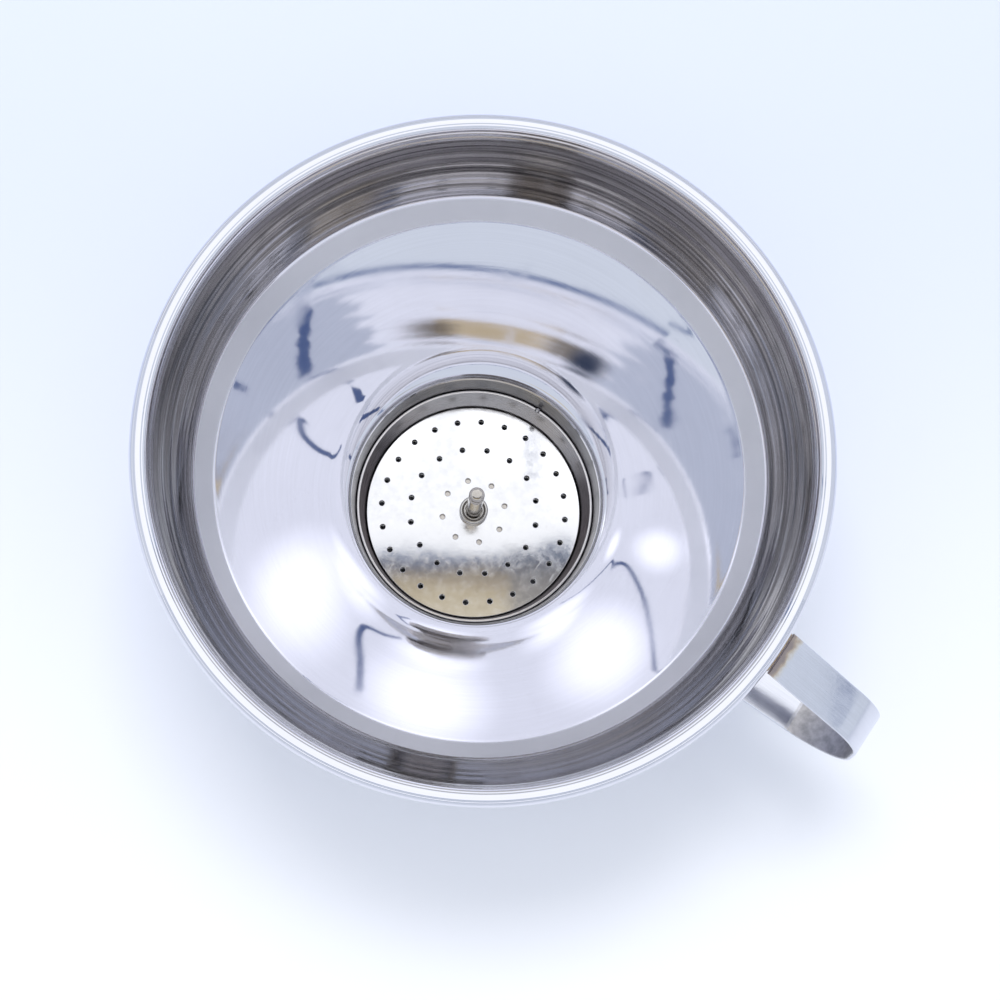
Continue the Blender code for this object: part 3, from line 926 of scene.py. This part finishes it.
def graded(name, low, high, stops):
    """A shining card with colours that run up the photograph from low to high."""
    n = Nodes(name)
    _, up = on_set_place(n)
    share = n.math("DIVIDE", n.math("SUBTRACT", up, low), high - low, clamp=True)
    n.link(n.ramp(share, stops), n.shader.inputs["Emission Color"])
    only_shines(n.shader, 1.0)
    return n.material


def stage_mesh(name, corners, faces, material):
    mesh = bpy.data.meshes.new(name)
    mesh.from_pydata(corners, [], faces)
    mesh.materials.append(material)
    obj = bpy.data.objects.new(name, mesh)
    bpy.context.scene.collection.objects.link(obj)
    return obj


def floor():
    """Pale paper, with painted shade: a little bluer and dimmer further up the set."""
    n = Nodes("floor_paper")
    along = n.vector("DOT_PRODUCT", n.place, (-sin(SET_TURN), cos(SET_TURN), 0.0))
    # Painted shade: the paper's colour darkens and turns bluer along the set's up direction.
    share = n.span(along, -0.16, 0.16, 0.0, 1.0)
    tone = n.ramp(share, ((0.0, (0.85, 0.86, 0.90)), (1.0, (0.64, 0.68, 0.81))))
    n.shader.inputs["Roughness"].default_value = 0.85
    n.link(tone, n.shader.inputs["Base Color"])
    half = 4.0
    corners = [(-half, -half, 0), (half, -half, 0), (half, half, 0), (-half, half, 0)]
    stage_mesh("floor", corners, [(0, 1, 2, 3)], n.material)


def on_set(across, up, height):
    """A place on the set: across and up the photograph from the axis, height above the rim plane."""
    x = (across * cos(SET_TURN) - up * sin(SET_TURN)) * RIM_RADIUS
    y = (across * sin(SET_TURN) + up * cos(SET_TURN)) * RIM_RADIUS
    return (AXIS_X + x, y, RIM_PLANE + height * RIM_RADIUS)


def only_mirrored(obj):
    """The steel shows it, but the camera and the floor don't."""
    obj.visible_camera = False
    obj.visible_diffuse = False
    obj.visible_shadow = False


def flag(name, outline, height, material):
    """A level card over the funnel."""
    corners = [on_set(across, up, height) for across, up in outline]
    only_mirrored(stage_mesh(name, corners, [tuple(range(len(corners)))], material))


def seam(name, places, width, height, material):
    """A tent seam as a level ribbon that curves smoothly through its places."""
    path = []
    points = [Vector(p) for p in places]
    ends = [2 * points[0] - points[1], *points, 2 * points[-1] - points[-2]]
    for before, start, end, after in zip(ends, ends[1:], ends[2:], ends[3:]):
        for t in np.linspace(0, 1, 9)[:-1]:
            pull = (end - before) * t + (2 * before - 5 * start + 4 * end - after) * t**2
            pull += (3 * start - before - 3 * end + after) * t**3
            path.append(start + pull / 2)
    path.append(points[-1])
    left, right = [], []
    for i, point in enumerate(path):
        way = (path[min(i + 1, len(path) - 1)] - path[max(i - 1, 0)]).normalized()
        side = Vector((-way.y, way.x)) * (width / 2)
        left.append(on_set(*(point + side), height))
        right.append(on_set(*(point - side), height))
    count = len(path)
    faces = [(i, i + 1, count + i + 1, count + i) for i in range(count - 1)]
    only_mirrored(stage_mesh(name, left + right, faces, material))


def fence(name, radius, start, end, low, high, material):
    """A standing ribbon on an arc round the funnel."""
    angles = np.linspace(start, end, 49)
    corners = [on_set(radius * cos(a), radius * sin(a), h) for h in (low, high) for a in angles]
    count = len(angles)
    faces = [(i, i + 1, count + i + 1, count + i) for i in range(count - 1)]
    only_mirrored(stage_mesh(name, corners, faces, material))


def soft_card(name, centre, half, height, color, glow=1.0):
    """A level card with edges that fade out."""
    n = Nodes(name)
    across, up = on_set_place(n)
    x = n.math("DIVIDE", n.math("SUBTRACT", across, centre[0]), half[0])
    y = n.math("DIVIDE", n.math("SUBTRACT", up, centre[1]), half[1])
    n.link(n.span(n.vector("LENGTH", n.combine(x, y, 0.0)), 0.25, 1.0, 1.0, 0.0), n.shader.inputs["Alpha"])
    n.shader.inputs["Emission Color"].default_value = (*color, 1.0)
    only_shines(n.shader, glow)
    signs = ((-1, -1), (1, -1), (1, 1), (-1, 1))
    outline = [(centre[0] + sx * half[0], centre[1] + sy * half[1]) for sx, sy in signs]
    flag(name, outline, height, n.material)


def studio():
    sky = bpy.data.worlds.new("studio")
    sky.use_nodes = True
    background = sky.node_tree.nodes["Background"]
    background.inputs["Color"].default_value = (0.85, 0.91, 1.0, 1.0)
    background.inputs["Strength"].default_value = 0.94
    bpy.context.scene.world = sky
    softbox = glowing("softbox", (0.96, 0.975, 1.0), SOFTBOX_GLOW)
    corners = [on_set(across, up, SOFTBOX_HEIGHT) for across, up in ((-8, -7), (8, -7), (8, 9), (-8, 9))]
    stage_mesh("softbox", corners, [(0, 1, 2, 3)], softbox).visible_camera = False
    lamp = bpy.data.lights.new("key", "AREA")
    lamp.energy = KEY_POWER
    lamp.size = KEY_SIZE
    lamp.color = (1.0, 0.985, 0.96)
    key = bpy.data.objects.new("key", lamp)
    key.visible_glossy = False
    place = Vector(on_set(*KEY_PLACE))
    aim = place - Vector(on_set(0, 0, 0))
    key.matrix_world = Matrix.Translation(place) @ aim.to_track_quat("Z", "Y").to_matrix().to_4x4()
    bpy.context.scene.collection.objects.link(key)


def tent():
    """What the steel mirrors: the light tent's blue seams, and the dark lens and warm hands over it."""
    blue = glowing("seam_blue", (0.13, 0.19, 0.37))
    seam("seam_left", ((0.82, -0.09), (0.83, -0.07), (0.79, -0.03), (0.72, -0.02), (0.67, -0.04)),
         0.022, LOW, blue)
    seam("seam_left_top", ((0.75, -0.40), (0.69, -0.32), (0.64, -0.27), (0.57, -0.22), (0.51, -0.18)),
         0.044, LOW, blue)
    seam("seam_right", ((-0.80, 0.09), (-0.81, 0.12), (-0.74, 0.18)), 0.018, LOW, blue)
    seam("seam_right_top", (
        (-0.80, -0.40), (-0.81, -0.33), (-0.79, -0.27), (-0.74, -0.20), (-0.63, -0.10), (-0.58, -0.06),
    ), 0.038, LOW, blue)
    seam("seam_low_left", ((0.25, 0.53), (0.26, 0.45), (0.28, 0.38), (0.27, 0.32)), 0.016, LOW, blue)
    seam("seam_low_right", (
        (-0.38, 0.34), (-0.42, 0.34), (-0.50, 0.36), (-0.48, 0.46), (-0.43, 0.56), (-0.36, 0.68),
    ), 0.012, LOW, blue)
    seam("seam_strap", ((2.45, -0.90), (2.28, -1.15), (2.10, -1.45)), 0.12, HIGH, blue)
    fence("seam_far", 1.035, radians(205), radians(335), 0.050, 0.068, blue)
    soft_card("lens", (-0.36, -0.36), (0.11, 0.10), MIDDLE, (0.05, 0.07, 0.12))
    warm = glowing("warm", (0.86, 0.70, 0.42))
    seam("warm_streak", ((0.07, -0.29), (0.0, -0.29), (-0.09, -0.29), (-0.16, -0.28)), 0.06, HIGH, warm)
    soft_card("brown_left", (0.06, -0.26), (0.05, 0.06), HIGH - 0.01, (0.20, 0.16, 0.11))
    soft_card("brown_right", (-0.16, -0.26), (0.06, 0.06), HIGH - 0.01, (0.26, 0.21, 0.14))
    hands = graded("hands", -0.30, 0.06, (
        (0.15, (0.80, 0.73, 0.58)), (0.45, (0.64, 0.55, 0.39)), (0.66, (0.36, 0.31, 0.25)),
        (0.79, (0.15, 0.18, 0.27)), (0.98, (0.55, 0.62, 0.78)),
    ))
    flag("hands_over_disc", ((-0.40, -0.30), (0.20, -0.30), (0.16, 0.02), (-0.40, 0.04)), LOW, hands)
    sleeve = graded("sleeve", -0.30, 0.10, (
        (0.10, (0.46, 0.44, 0.41)), (0.60, (0.28, 0.27, 0.27)),
        (0.80, (0.12, 0.15, 0.23)), (0.98, (0.50, 0.57, 0.74)),
    ))
    flag("sleeve_over_disc", ((0.20, -0.30), (0.44, -0.30), (0.44, 0.08), (0.16, 0.02)), LOW, sleeve)
    white = (0.97, 0.98, 1.0)
    soft_card("panel_near", (0.12, 0.50), (0.17, 0.19), LOW - 0.01, white, PANEL_GLOW)
    soft_card("panel_right", (-0.28, 0.53), (0.19, 0.19), LOW - 0.01, white, PANEL_GLOW)
    soft_card("panel_left", (0.46, 0.38), (0.19, 0.24), LOW - 0.01, white, PANEL_GLOW)
    soft_card("panel_far_right", (-0.62, 0.40), (0.11, 0.11), LOW - 0.01, white, PANEL_GLOW)
    backdrop = glowing("backdrop", (0.55, 0.53, 0.52))
    fence("backdrop_far", 12.0, radians(30), radians(150), -1.0, 3.5, backdrop)


def camera():
    data = bpy.data.cameras.new("camera")
    data.lens = LENS
    data.sensor_width = 36.0
    data.dof.use_dof = False
    data.clip_start = 0.01
    obj = bpy.data.objects.new("camera", data)
    level = cos(VIEW_ELEVATION)
    away = Vector((sin(VIEW_AZIMUTH) * level, -cos(VIEW_AZIMUTH) * level, sin(VIEW_ELEVATION)))
    turn = away.to_track_quat("Z", "Y").to_matrix().to_4x4() @ Matrix.Rotation(VIEW_ROLL, 4, "Z")
    obj.matrix_world = Matrix.Translation(Vector(VIEW_TARGET) + away * VIEW_DISTANCE) @ turn
    bpy.context.scene.collection.objects.link(obj)
    bpy.context.scene.camera = obj


floor()
studio()
tent()
camera()
bpy.context.scene.view_settings.view_transform = "Standard"
